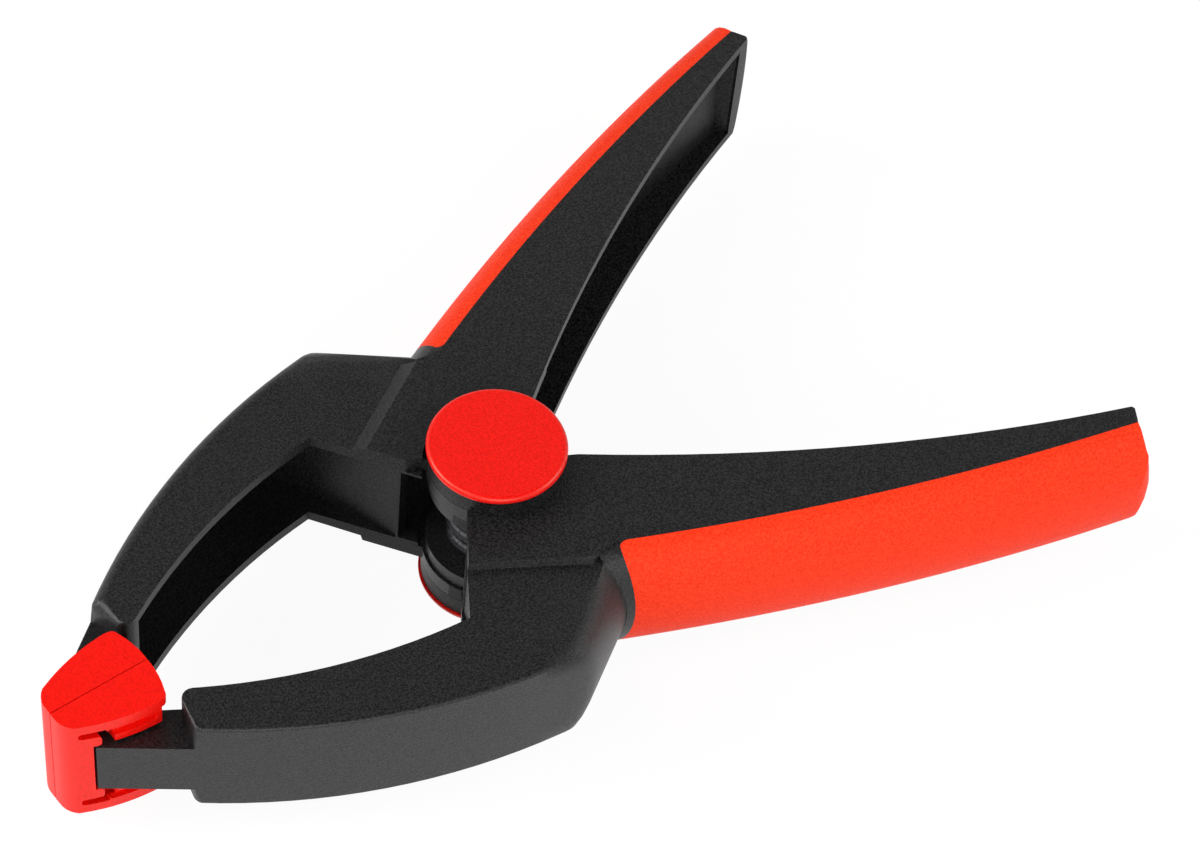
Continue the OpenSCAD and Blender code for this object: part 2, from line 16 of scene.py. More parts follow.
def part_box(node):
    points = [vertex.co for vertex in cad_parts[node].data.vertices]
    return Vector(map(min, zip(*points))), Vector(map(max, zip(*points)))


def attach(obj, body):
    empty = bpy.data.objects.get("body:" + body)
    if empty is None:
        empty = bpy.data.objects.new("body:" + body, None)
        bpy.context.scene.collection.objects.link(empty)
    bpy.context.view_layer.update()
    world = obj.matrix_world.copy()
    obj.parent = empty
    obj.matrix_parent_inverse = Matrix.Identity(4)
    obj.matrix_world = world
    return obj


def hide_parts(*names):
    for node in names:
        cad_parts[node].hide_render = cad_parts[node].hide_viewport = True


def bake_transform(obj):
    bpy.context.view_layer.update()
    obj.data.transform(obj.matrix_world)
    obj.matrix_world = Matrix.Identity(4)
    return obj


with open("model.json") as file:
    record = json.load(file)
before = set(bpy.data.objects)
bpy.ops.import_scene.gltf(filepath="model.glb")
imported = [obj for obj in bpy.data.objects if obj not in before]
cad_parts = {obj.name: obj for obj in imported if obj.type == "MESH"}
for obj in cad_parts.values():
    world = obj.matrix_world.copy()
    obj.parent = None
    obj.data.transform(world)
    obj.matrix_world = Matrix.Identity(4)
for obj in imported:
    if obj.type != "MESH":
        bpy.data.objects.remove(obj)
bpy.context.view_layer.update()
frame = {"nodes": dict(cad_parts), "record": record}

MM = 0.001
PIVOT_Z = sum(corner.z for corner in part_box("pivot_pin")) / 2
print("pivot height", round(PIVOT_Z, 5), "nodes", len(frame["nodes"]))

# %% [markdown]
# ## The camera
# The clamp is seen from above and a little to one side, through a long lens, so that both
# jaws and both handles show. A camera looks along its own -Z, so a track quaternion turns it
# at the target, and a last turn about its own axis leans the horizon.

# %% Camera
# Where the camera stands and the point it looks at, in metres, then its lean and its lens
CAMERA_AT = Vector((-0.261785, -0.303107, 0.549560))
CAMERA_TO = Vector((0.027298, 0.003526, 0.0187))
CAMERA_LEAN_DEG = 6.972
LENS_MM = 111.653


def add_camera():
    """The camera, turned at its target and then leaned about its own axis."""
    data = bpy.data.cameras.new("camera")
    data.lens = LENS_MM
    data.sensor_fit = "HORIZONTAL"
    data.clip_start = 0.01
    camera = bpy.data.objects.new("camera", data)
    turned = (CAMERA_TO - CAMERA_AT).to_track_quat("-Z", "Y").to_matrix()
    lean = Matrix.Rotation(math.radians(CAMERA_LEAN_DEG), 3, "Z")
    camera.matrix_world = Matrix.Translation(CAMERA_AT) @ (turned @ lean).to_4x4()
    bpy.context.scene.collection.objects.link(camera)
    bpy.context.scene.camera = camera
    return camera


print("camera axes", [[round(x, 4) for x in row] for row in add_camera().matrix_world])

# %% [markdown]
# ## Floor and light
# A studio sweep is one white floor under large soft lamps. The camera and every glossy
# surface see it as plain white, because that is its colour here and not because of more
# light. The floor still shows a part of its own shading, which keeps the soft shadow.

# %% Nodes by name
def new_material(name):
    """An empty node material, its tree, and its Principled shader."""
    material = bpy.data.materials.new(name)
    material.use_nodes = True
    tree = material.node_tree
    return material, tree, tree.nodes["Principled BSDF"]


def add_node(tree, kind, **values):
    """A node whose properties are set by name."""
    node = tree.nodes.new(kind)
    for key, value in values.items():
        setattr(node, key, value)
    return node


def seen_directly(tree):
    """1 for a ray from the camera, off a glossy surface or through a clear one, else 0."""
    path = add_node(tree, "ShaderNodeLightPath")
    first = add_node(tree, "ShaderNodeMath", operation="MAXIMUM")
    both = add_node(tree, "ShaderNodeMath", operation="MAXIMUM")
    tree.links.new(path.outputs["Is Camera Ray"], first.inputs[0])
    tree.links.new(path.outputs["Is Glossy Ray"], first.inputs[1])
    tree.links.new(first.outputs[0], both.inputs[0])
    tree.links.new(path.outputs["Is Transmission Ray"], both.inputs[1])
    return both.outputs[0]


# %% Floor
# The floor's width in metres, how much of its own shading shows, and its white as seen
FLOOR_SIZE = 6.0
SHADE_SHOWN = 0.1
FLOOR_WHITE = 1.04


def add_floor():
    """A floor that is plain white as seen, but for a part of its own shading."""
    material, tree, shader = new_material("studio_white")
    shader.inputs["Base Color"].default_value = (0.8, 0.8, 0.8, 1)
    shader.inputs["Roughness"].default_value = 0.9
    shader.inputs["Specular IOR Level"].default_value = 0.1
    glow = add_node(tree, "ShaderNodeEmission")
    glow.inputs["Color"].default_value = (1, 1, 1, 1)
    glow.inputs["Strength"].default_value = FLOOR_WHITE
    share = add_node(tree, "ShaderNodeMath", operation="MULTIPLY")
    share.inputs[1].default_value = 1 - SHADE_SHOWN
    mix = add_node(tree, "ShaderNodeMixShader")
    tree.links.new(seen_directly(tree), share.inputs[0])
    tree.links.new(share.outputs[0], mix.inputs[0])
    tree.links.new(shader.outputs[0], mix.inputs[1])
    tree.links.new(glow.outputs[0], mix.inputs[2])
    tree.links.new(mix.outputs[0], tree.nodes["Material Output"].inputs["Surface"])
    bm = bmesh.new()
    bmesh.ops.create_grid(bm, x_segments=1, y_segments=1, size=FLOOR_SIZE / 2)
    mesh = bpy.data.meshes.new("floor")
    bm.to_mesh(mesh)
    bm.free()
    mesh.materials.append(material)
    floor = bpy.data.objects.new("floor", mesh)
    bpy.context.scene.collection.objects.link(floor)
    return floor


print("floor", add_floor().name)

# %% World and lamps
# The room is pale low down and dim overhead, so tops stay dark and walls are pale. The
# levels hold at these heights of a ray's direction, and change evenly between them.
WORLD_LEVELS = ((0.6, 0.62), (0.84, 0.01))
# Each lamp: where it stands, its size, and its power in watts
LAMPS = {
    "front_lamp": ((-0.50, -0.80, 0.50), 0.7, 4.5),
    "side_lamp": ((0.75, -0.60, 0.60), 0.6, 4.0),
    "top_lamp": ((-0.75, 0.10, 1.00), 0.7, 3.5),
    "back_lamp": ((-0.75, 0.55, 0.55), 0.6, 7.0),
}


def add_world():
    """A plain surround that is paler low down, and white where the camera sees it."""
    world = bpy.data.worlds.new("studio")
    world.use_nodes = True
    tree = world.node_tree
    seen = tree.nodes["Background"]
    seen.inputs["Color"].default_value = (1, 1, 1, 1)
    way = add_node(tree, "ShaderNodeTexCoord")
    parts = add_node(tree, "ShaderNodeSeparateXYZ")
    level = add_node(tree, "ShaderNodeMapRange")
    (low, low_level), (high, high_level) = WORLD_LEVELS
    level.inputs["From Min"].default_value = low
    level.inputs["From Max"].default_value = high
    level.inputs["To Min"].default_value = low_level
    level.inputs["To Max"].default_value = high_level
    path = add_node(tree, "ShaderNodeLightPath")
    plain = add_node(tree, "ShaderNodeMath", operation="MAXIMUM")
    tree.links.new(way.outputs["Generated"], parts.inputs[0])
    tree.links.new(parts.outputs["Z"], level.inputs["Value"])
    tree.links.new(level.outputs["Result"], plain.inputs[0])
    tree.links.new(path.outputs["Is Camera Ray"], plain.inputs[1])
    tree.links.new(plain.outputs[0], seen.inputs["Strength"])
    bpy.context.scene.world = world


def add_lamps():
    """Square soft lamps, each turned at the pivot."""
    for name, (place, size, power) in LAMPS.items():
        data = bpy.data.lights.new(name, "AREA")
        data.size = size
        data.energy = power
        lamp = bpy.data.objects.new(name, data)
        aim = Vector((0, 0, PIVOT_Z)) - Vector(place)
        turned = aim.to_track_quat("-Z", "Y").to_matrix().to_4x4()
        lamp.matrix_world = Matrix.Translation(place) @ turned
        bpy.context.scene.collection.objects.link(lamp)


add_world()
add_lamps()
bpy.context.scene.view_settings.view_transform = "Standard"
print("lamps", sorted(LAMPS))

# %% [markdown]
# ## The finishes
# The arms are glass-filled nylon: near black, with a fine sparkle of short fibres and a
# satin skin. The grips are a soft rubbery red, the pads and caps a harder glossy red. One
# fine noise gives each its mottling and its grain together. An image of the grain would
# need a flat map of every surface, and a noise in the object's own space needs none.

# %% Mottling and grain
GRAIN_DETAIL = 2
GRAIN_ROUGHNESS = 0.7
# The levels of the noise at which the dark and the light tone are full
TONES_AT = (0.38, 0.64)


def srgb(r, g, b):
    """A colour given as 0-255 display values, as the linear numbers that shaders take."""
    parts = [v / 255 for v in (r, g, b)]
    linear = [p / 12.92 if p <= 0.04045 else ((p + 0.055) / 1.055) ** 2.4 for p in parts]
    return (*linear, 1.0)


def speckled(tree, shader, dark, light, scale, bump, distance):
    """Fine mottling of two colours, with a matching grain in the surface."""
    place = add_node(tree, "ShaderNodeTexCoord")
    grain = add_node(tree, "ShaderNodeTexNoise")
    grain.inputs["Scale"].default_value = scale
    grain.inputs["Detail"].default_value = GRAIN_DETAIL
    grain.inputs["Roughness"].default_value = GRAIN_ROUGHNESS
    ramp = add_node(tree, "ShaderNodeValToRGB")
    for element, level, tone in zip(ramp.color_ramp.elements, TONES_AT, (dark, light)):
        element.position = level
        element.color = tone
    relief = add_node(tree, "ShaderNodeBump")
    relief.inputs["Strength"].default_value = bump
    relief.inputs["Distance"].default_value = distance
    tree.links.new(place.outputs["Object"], grain.inputs["Vector"])
    tree.links.new(grain.outputs["Fac"], ramp.inputs["Fac"])
    tree.links.new(ramp.outputs["Color"], shader.inputs["Base Color"])
    tree.links.new(grain.outputs["Fac"], relief.inputs["Height"])
    tree.links.new(relief.outputs["Normal"], shader.inputs["Normal"])
    return relief


print("white as a shader takes it", srgb(255, 255, 255))

# %% [markdown]
# ## The soft edge beside the heel
# Where the jaw's plates turn down to the heel's side, the real moulding has a broad blend.
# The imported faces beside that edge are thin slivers, which fold when its points are moved
# and leave facets when it is bevelled. So the mesh keeps its crisp edge, and a Bevel node
# bends the light over it. A mask by distance from the edge's middle lets that fade out.

# %% Soft edge
# The middle of the edge, on either side of the clamp, how far from there it is shaded fully
# and at all, and its apparent radius, in metres
HEEL_EDGE_AT = (-0.0082, 0.0360)
HEEL_EDGE_REACH = (0.0075, 0.0130)
HEEL_EDGE_RADIUS = 0.0065
HEEL_EDGE_SAMPLES = 8


def soft_heel(tree, relief):
    """Shades the edge beside each heel as a broad rounding that fades out at its ends."""
    place = add_node(tree, "ShaderNodeTexCoord")
    split = add_node(tree, "ShaderNodeSeparateXYZ")
    either = add_node(tree, "ShaderNodeMath", operation="ABSOLUTE")
    joined = add_node(tree, "ShaderNodeCombineXYZ")
    away = add_node(tree, "ShaderNodeVectorMath", operation="DISTANCE")
    away.inputs[1].default_value = (*HEEL_EDGE_AT, 0)
    near = add_node(tree, "ShaderNodeMapRange", interpolation_type="SMOOTHSTEP")
    near.inputs["From Min"].default_value = HEEL_EDGE_REACH[1]
    near.inputs["From Max"].default_value = HEEL_EDGE_REACH[0]
    plain = add_node(tree, "ShaderNodeNewGeometry")
    broad = add_node(tree, "ShaderNodeBevel", samples=HEEL_EDGE_SAMPLES)
    broad.inputs["Radius"].default_value = HEEL_EDGE_RADIUS
    blend = add_node(tree, "ShaderNodeMix", data_type="VECTOR")
    tree.links.new(place.outputs["Object"], split.inputs["Vector"])
    tree.links.new(split.outputs["Y"], either.inputs[0])
    tree.links.new(split.outputs["X"], joined.inputs["X"])
    tree.links.new(either.outputs[0], joined.inputs["Y"])
    tree.links.new(joined.outputs["Vector"], away.inputs[0])
    tree.links.new(away.outputs["Value"], near.inputs["Value"])
    tree.links.new(near.outputs["Result"], blend.inputs[0])
    tree.links.new(plain.outputs["Normal"], blend.inputs[4])
    tree.links.new(broad.outputs["Normal"], blend.inputs[5])
    tree.links.new(blend.outputs[1], relief.inputs["Normal"])


print("soft edge, apparent radius", HEEL_EDGE_RADIUS / MM, "mm")

# %% Black nylon
NYLON_ROUGHNESS = 0.41


def black_nylon(name, shine, heel=False):
    """Satin black with a fine fibre grain, and the heel's soft edge where asked for. A lower
    shine makes a darker copy, used as painted shade.
    """
    material, tree, shader = new_material(name)
    shader.inputs["Roughness"].default_value = NYLON_ROUGHNESS
    shader.inputs["Specular IOR Level"].default_value = shine
    relief = speckled(
        tree, shader, srgb(1, 1, 2), srgb(42, 42, 42), scale=2600, bump=0.8, distance=0.0001
    )
    if heel:
        soft_heel(tree, relief)
    return material


BLACK = black_nylon("black_nylon", 0.42, heel=True)
# The collars' black reflects less than the arms': painted shade under the caps and between the
# arms.
RING_PAINTED_SHADE_BLACK = black_nylon("black_nylon_ring_painted_shade", 0.2)
# The hollows' and the mouth's blacks reflect less than the outside: painted shade inside the
# channels and on the walls facing the other arm.
HOLLOW_PAINTED_SHADE_BLACK = black_nylon("black_nylon_hollow_painted_shade", 0.13)
MOUTH_PAINTED_SHADE_BLACK = black_nylon("black_nylon_mouth_painted_shade", 0.16)
print("materials", BLACK.name, RING_PAINTED_SHADE_BLACK.name, HOLLOW_PAINTED_SHADE_BLACK.name, MOUTH_PAINTED_SHADE_BLACK.name)

# %% Reds
# What a red's gloss is tinted by, so that it stays warm and doesn't turn pink
RED_GLOSS_TINT = (1.0, 1.0, 0.75, 1.0)


def moulded_red(name, dark, light, roughness, shine, scale, bump):
    """A moulded red: its two close tones, its gloss, and the size and depth of its grain."""
    material, tree, shader = new_material(name)
    shader.inputs["Roughness"].default_value = roughness
    shader.inputs["Specular IOR Level"].default_value = shine
    shader.inputs["Specular Tint"].default_value = RED_GLOSS_TINT
    speckled(tree, shader, dark, light, scale, bump, distance=0.00004)
    return material


SOFT_RED = moulded_red(
    "soft_red_grip", srgb(238, 44, 16), srgb(253, 68, 32),
    roughness=0.55, shine=0.15, scale=2400, bump=0.5,
)
PAD_RED = moulded_red(
    "pad_red", srgb(228, 2, 0), srgb(252, 16, 2),
    roughness=0.42, shine=0.34, scale=2600, bump=0.5,
)
CAP_RED = moulded_red(
    "cap_red", srgb(226, 4, 2), srgb(250, 22, 14),
    roughness=0.34, shine=0.5, scale=2600, bump=0.15,
)
print("materials", SOFT_RED.name, PAD_RED.name, CAP_RED.name)

# %% Steel
# How far the dark tone lies under the light one, and how much bluer than grey both are
STEEL_MOTTLE = 25
STEEL_BLUE = 2


def steel_tone(level):
    """Steel's slightly blue grey at one display level."""
    return srgb(level, level, level + STEEL_BLUE)


def steel(name, tone, roughness):
    """Drawn steel wire or turned steel."""
    material, tree, shader = new_material(name)
    shader.inputs["Metallic"].default_value = 1.0
    shader.inputs["Roughness"].default_value = roughness
    dark = steel_tone(tone - STEEL_MOTTLE)
    speckled(tree, shader, dark, steel_tone(tone), scale=1500, bump=0.08, distance=0.00002)
    return material


SPRING_STEEL = steel("spring_steel", 76, 0.5)
PIN_STEEL = steel("pin_steel", 190, 0.25)
RING_STEEL = steel("ring_steel", 90, 0.35)
print("materials", SPRING_STEEL.name, PIN_STEEL.name, RING_STEEL.name)

# %% [markdown]
# ## Softened mouldings
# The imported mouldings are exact, but their edges are razor sharp, and a moulding's never
# are. A copy of each mesh is merged, its flat faces are made whole, and its edges are
# bevelled by a small radius. Modelling a piece again from nothing would only lose its fit.

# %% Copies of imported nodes
# Corners closer than the first are one, and faces within the second of flat are one
MERGE_MM = 0.03
FLAT_DEG = 0.6


def clean_copy(node):
    """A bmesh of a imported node, with its loose triangles merged and its flats made whole."""
    bm = bmesh.new()
    bm.from_mesh(frame["nodes"][node].data)
    bmesh.ops.remove_doubles(bm, verts=bm.verts[:], dist=MERGE_MM * MM)
    bmesh.ops.dissolve_degenerate(bm, edges=bm.edges[:], dist=MERGE_MM * MM)
    bmesh.ops.dissolve_limit(
        bm, angle_limit=math.radians(FLAT_DEG), verts=bm.verts[:], edges=bm.edges[:]
    )
    return bm


def round_edges(bm, radius_mm, segments=2, least_deg=30.0, chosen=None):
    """Bevels the edges that turn by more than least_deg, or those of them that are chosen."""
    least = math.radians(least_deg)
    edges = [e for e in bm.edges if e.is_manifold and e.calc_face_angle() > least]
    if chosen:
        edges = [e for e in edges if chosen(e)]
    bmesh.ops.bevel(
        bm, geom=edges, offset=radius_mm * MM, offset_type="OFFSET", affect="EDGES",
        segments=segments, profile=0.5, material=-1, clamp_overlap=True,
    )
    return len(edges)


def add_piece(name, bm, body, material, nodes, sharp_deg=32.0):
    """A finished piece: shaded smooth up to sharp_deg, riding on its body."""
    mesh = bpy.data.meshes.new(name)
    bm.to_mesh(mesh)
    bm.free()
    mesh.materials.append(material)
    mesh.polygons.foreach_set("use_smooth", [True] * len(mesh.polygons))
    mesh.set_sharp_from_angle(angle=math.radians(sharp_deg))
    piece = bpy.data.objects.new(name, mesh)
    bpy.context.scene.collection.objects.link(piece)
    weigh = piece.modifiers.new("flat_faces_stay_flat", "WEIGHTED_NORMAL")
    weigh.keep_sharp = True
    if body:
        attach(piece, body)
    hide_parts(*nodes)
    print(name, len(mesh.polygons), "faces")
    return piece


# %% Which way up each side is
# Both arms are one moulding, and the left one is turned over on the long axis
SIDES = ("left", "right")
TURN = {"right": 1, "left": -1}


def moulded_mm(point, side):
    """A point in millimetres as the right arm has it, with heights from the middle plane."""
    turn = TURN[side]
    return Vector((point.x, point.y * turn, (point.z - PIVOT_Z) * turn)) / MM


def placed(move_mm, side):
    """A level move given on the moulding in millimetres, as the clamp's side has it."""
    return Vector((move_mm.x, move_mm.y * TURN[side], 0)) * MM


def run_out(value, full, none):
    """1 at full, 0 at none, and straight between them."""
    return min(1.0, max(0.0, (none - value) / (none - full)))


print("one millimetre along Y, left", placed(Vector((0, 1)), "left").y)

# %% Cuts at a height
# Points closer than this, to each other or to a cut, are taken as one
SAME_POINT_MM = 0.001


def cut_level(bm, faces, height_mm, side):
    """Cuts some faces at a height on the moulding, so that their points there can move."""
    parts = list({part for face in faces for part in [*face.verts, *face.edges]}) + faces
    height = PIVOT_Z + height_mm * TURN[side] * MM
    bmesh.ops.bisect_plane(
        bm, geom=parts, dist=SAME_POINT_MM * MM, plane_co=(0, 0, height),
        plane_no=(0, 0, 1),
    )


# %% [markdown]
# ## The back of the jaw
# The jaw's outer wall meets its plates in a large radius on the moulding's upper side and a
# small one on its lower side, and both run out round the heel and down the jaw's end. A
# bevel keeps one width all along an edge. So the wall is cut at a few levels near the plate
# instead, and each cut is drawn in to a quarter circle, by less where the radius runs out.

# %% Where the back is rounded
# Half the jaw's height, and the corners of its outline: end, heel, and end of heel's side
JAW_HALF_MM = 12.0
JAW_END_MM = Vector((-74.2, 15.8))
HEEL_MM = Vector((-14.2, 40.5))
HEEL_SIDE_END_MM = Vector((1.5, 26.5))
# The rounding runs out over this stretch of X round the heel, and of Y on the jaw's end
HEEL_RUN_OUT_MM = {1: (-12.0, -4.0), -1: (-17.0, -10.0)}
END_RUN_OUT_MM = (12.0, 8.5)
# How deep the jaw's end wall is along X, and how far under the chord the back may lie
END_DEEP_MM = 2.2
BACK_SLACK_MM = 0.5


def chord_at(x):
    """The straight line under the jaw's outer curve, and beyond the heel along its side."""
    ends = (JAW_END_MM, HEEL_MM) if x < HEEL_MM.x else (HEEL_MM, HEEL_SIDE_END_MM)
    return ends[0].y + (x - ends[0].x) * (ends[1].y - ends[0].y) / (ends[1].x - ends[0].x)


def back_share(spot, face):
    """How much of the back's rounding on one side a place on the arm gets, from 0 to 1."""
    if spot.x < JAW_END_MM.x + END_DEEP_MM:
        return run_out(spot.y, *END_RUN_OUT_MM)
    if spot.y > chord_at(spot.x) - BACK_SLACK_MM:
        return run_out(spot.x, *HEEL_RUN_OUT_MM[face])
    return 0.0


print("chord under the jaw's back at its end", round(chord_at(JAW_END_MM.x), 2), "mm")

# %% Rounding of the back
# The radius on the moulding's upper and its lower side, and the cuts across each
BACK_RADIUS_MM = {1: 2.3, -1: 0.8}
BACK_CUTS = 5
# A face whose normal rises less than the first is cut as a wall. At a corner, a face has a
# way out where its normal's level part is longer than the second, and two ways that agree
# by more than the third are one.
WALL_RISE = 0.98
LEAST_WAY = 0.15
SAME_WAY = 0.9999
# Keeps the way out of a sharp corner from growing without end
LEAST_SQUARE = 0.4
# How far above the plate a point may lie, and what part of the radius merges into one
ABOVE_MM = 0.01
MERGED_SHARE = 0.08


def outward(vert):
    """The way out of the walls at a corner, as long as their planes need it to be."""
    ways = []
    for face in vert.link_faces:
        way = Vector((face.normal.x, face.normal.y))
        if way.length > LEAST_WAY and all(way.normalized().dot(w) < SAME_WAY for w in ways):
            ways.append(way.normalized())
    if not ways:
        return Vector((0, 0, 0))
    mean = sum(ways, Vector((0, 0))) / len(ways)
    return (mean / max(mean.length_squared, LEAST_SQUARE)).to_3d()


def cut_back(bm, side, face, radius):
    """Cuts the jaw's back wall near one plate, closer together towards the plate."""
    for k in range(1, BACK_CUTS + 1):
        depth = radius * (1 - math.sin(math.pi / 2 * k / (BACK_CUTS + 1)))
        walls = [
            f for f in bm.faces if abs(f.normal.z) < WALL_RISE
            and any(back_share(moulded_mm(v.co, side), face) > 0 for v in f.verts)
        ]
        cut_level(bm, walls, face * (JAW_HALF_MM - depth), side)


def round_back(bm, side, face, radius):
    """Draws the cuts near one plate in to a quarter circle, and says how many points moved."""
    cut_back(bm, side, face, radius)
    bm.normal_update()
    moves = []
    for vert in bm.verts:
        spot = moulded_mm(vert.co, side)
        depth = JAW_HALF_MM - face * spot.z
        reach = radius * back_share(spot, face)
        if -ABOVE_MM < depth < reach:
            inset = reach - math.sqrt(reach ** 2 - (reach - max(depth, 0)) ** 2)
            moves.append((vert, outward(vert) * -inset * MM))
    for vert, move in moves:
        vert.co += move
    merged = [vert for vert, _ in moves]
    bmesh.ops.remove_doubles(bm, verts=merged, dist=MERGED_SHARE * radius * MM)
    return len(moves)


# %% [markdown]
# ## The step and the jaw's corners
# On the moulding's lower side a short riser joins the jaw's plate to the hub. The real one
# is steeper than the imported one, so the two corners of its foot are drawn in under its top.
# The upright corner at the jaw's end and the plates' rim along the throat have a larger
# radius than the other edges, so each is found by its place and bevelled on its own.

# %% Step
# The corners of the step's foot, each with its move
STEP_FOOT_MOVES_MM = (
    (Vector((-18.62, 17.26, -12)), Vector((1.18, -1.98))),
    (Vector((-0.18, 28.0, -12)), Vector((1.45, -1.3))),
)
STEP_NEAR_MM = 0.15


def steepen_step(bm, side):
    """Draws the step's foot in under its top, and says how many corners moved."""
    found = 0
    for foot, move in STEP_FOOT_MOVES_MM:
        for vert in bm.verts:
            if (moulded_mm(vert.co, side) - foot).length < STEP_NEAR_MM:
                vert.co += placed(move, side)
                found += 1
    return found


# %% Jaw's corner and rim
# The radius of the upright corner, and how close to its place its edge lies
END_CORNER_MM = 1.2
END_CORNER_NEAR_MM = 0.1
# The radius of the rim, and its stretch of X
RIM_MM = 0.8
RIM_X_MM = (-70.0, -24.0)
# The rim's edges lie this close to the plate's height, and this far inside the jaw's chord
RIM_NEAR_MM = 0.05
RIM_INSIDE_MM = 2


def near_end_corner(edge, side):
    """Whether an edge is the upright one between the jaw's back and its end."""
    spots = [moulded_mm(vert.co, side) for vert in edge.verts]
    return all((spot.xy - JAW_END_MM).length < END_CORNER_NEAR_MM for spot in spots)


def on_throat_rim(edge, side):
    """Whether an edge runs along the throat on the moulding's upper side."""
    spots = [moulded_mm(vert.co, side) for vert in edge.verts]
    return all(
        abs(spot.z - JAW_HALF_MM) < RIM_NEAR_MM and RIM_X_MM[0] < spot.x < RIM_X_MM[1]
        and spot.y < chord_at(spot.x) - RIM_INSIDE_MM for spot in spots
    )


# %% [markdown]
# ## The end of the handle
# The handle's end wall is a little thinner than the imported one, and its bare corner is
# rounded. Behind the mouth the end bows outwards, most just above its middle. The grip is
# moulded over that end, so one function bows arm and grip by the same rule, and the two
# stay together.

# %% Bare corner
HANDLE_HALF_MM = 13.5
HANDLE_END_MM = Vector((102.95, 55.44))
HANDLE_END_ROUND_MM = 1.2
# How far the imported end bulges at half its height, which way, and how close is on it
END_BULGE_MM = 1.7
END_BULGE_WAY = Vector((0.86, 0.51))
HANDLE_END_NEAR_MM = 0.3
HANDLE_END_MERGE_MM = 0.2
# A large corner's cuts, and the least turn that makes it a corner
CORNER_CUTS = 3
CORNER_DEG = 60.0


def near_handle_end(vert, side):
    """Whether a corner lies on the upright edge where the bare side of the handle ends."""
    spot = moulded_mm(vert.co, side)
    bulge = END_BULGE_MM * (1 - (spot.z / HANDLE_HALF_MM) ** 2)
    return (spot.xy - HANDLE_END_MM - END_BULGE_WAY * bulge).length < HANDLE_END_NEAR_MM


def round_handle_end(bm, side):
    """Merges the points along the handle's bare corner that lie close, and rounds it."""
    corner = [v for v in bm.verts if near_handle_end(v, side)]
    bmesh.ops.remove_doubles(bm, verts=corner, dist=HANDLE_END_MERGE_MM * MM)
    corner = [v for v in bm.verts if near_handle_end(v, side)]
    return round_edges(
        bm, HANDLE_END_ROUND_MM, CORNER_CUTS, CORNER_DEG,
        lambda e: all(v in corner for v in e.verts),
    )


# %% Thinner end wall
HOLLOW_HALF_MM = {"jaw": 9.85, "handle": 11.55}
# Where the hollow's end lies on the moulding, and its move
END_WALL_X_MM = (95.0, 98.5)
END_WALL_Y_MM = (53.2, 56.2)
END_WALL_MOVE_MM = Vector((2.34, 0.9))


def thin_end_wall(bm, side):
    """Draws the hollow of the handle out towards its end."""
    verts = []
    for vert in bm.verts:
        spot = moulded_mm(vert.co, side)
        level = abs(spot.z) < HOLLOW_HALF_MM["handle"]
        if level and END_WALL_X_MM[0] < spot.x < END_WALL_X_MM[1]:
            if END_WALL_Y_MM[0] < spot.y < END_WALL_Y_MM[1]:
                verts.append(vert)
    bmesh.ops.translate(bm, verts=verts, vec=placed(END_WALL_MOVE_MM, side))
    return len(verts)


# %% Bowed end
# Where the bow starts and is full, and how far it goes where it is full
END_BOW_X_MM = (88.0, 100.0)
END_BOW_Y_MM = (57.0, 61.0)
END_BOW_MOVE_MM = Vector((1.9, 0))
# Only faces wholly beyond this are cut, at these heights
END_BOW_CUT_FROM_MM = 80
END_BOW_CUTS_MM = (-6, -4, -2, 0, 2, 4, 6)
# The bow's share at some heights, and it changes evenly between them
END_BOW_SHARES = (
    (-HANDLE_HALF_MM, -0.25), (-12.2, -0.4), (-10.5, -0.5), (-8.4, -0.3), (-4, 0.4),
    (0, 0.9), (4, 1), (6, 0.8), (8.4, 0.35), (10.6, 0.15), (HANDLE_HALF_MM, 0),
)


def bow_share(height, otherwise):
    """The share of the end's bow at a height, or otherwise where the table has none."""
    share = otherwise
    for (low, low_share), (high, high_share) in zip(END_BOW_SHARES, END_BOW_SHARES[1:]):
        if low <= height <= high:
            share = low_share + (high_share - low_share) * (height - low) / (high - low)
    return share


def bow_end(bm, side):
    """Bows the handle's end outwards behind its mouth, most just above its middle."""
    for height in END_BOW_CUTS_MM:
        beyond = [
            f for f in bm.faces
            if all(moulded_mm(v.co, side).x > END_BOW_CUT_FROM_MM for v in f.verts)
        ]
        cut_level(bm, beyond, height, side)
    moved, share = 0, 0.0
    for vert in bm.verts:
        spot = moulded_mm(vert.co, side)
        if spot.x > END_BOW_X_MM[0] and spot.y > END_BOW_Y_MM[0]:
            # A point that rounding puts a hair outside the table goes with the one before
            share = bow_share(spot.z, share)
            share *= (1 - run_out(spot.x, *END_BOW_X_MM)) * (1 - run_out(spot.y, *END_BOW_Y_MM))
            vert.co += placed(END_BOW_MOVE_MM * share, side)
            moved += 1
    return moved


print("bow at half height", bow_share(0, 0.0) * END_BOW_MOVE_MM.x, "mm")

# %% [markdown]
# ## Painted shade on one arm
# The channels, and the walls that face the other arm, take copies of the black that reflect
# less than the outside: painted shade where the arms hide them from the light. A mask in the
# shader would blur at the edges, so each face takes its black by its place and by the way it
# faces, as a material slot of its own.

# %% Painted shade by face
HOLLOW_X_MM = {"jaw": (-70, -22), "handle": (20, 101)}
# The order of the arm's material slots, the last two painted shade, and how far a face turns to
# the other arm
OUTER_SLOT, HOLLOW_SHADE_SLOT, MOUTH_SHADE_SLOT = range(3)
MOUTH_FACING = -0.3


def in_hollow(face, side):
    """Whether a face lines the channel of the jaw or of the handle."""
    spots = [moulded_mm(vert.co, side) for vert in face.verts]
    return any(
        all(abs(s.z) < HOLLOW_HALF_MM[part] and start < s.x < end for s in spots)
        for part, (start, end) in HOLLOW_X_MM.items()
    )


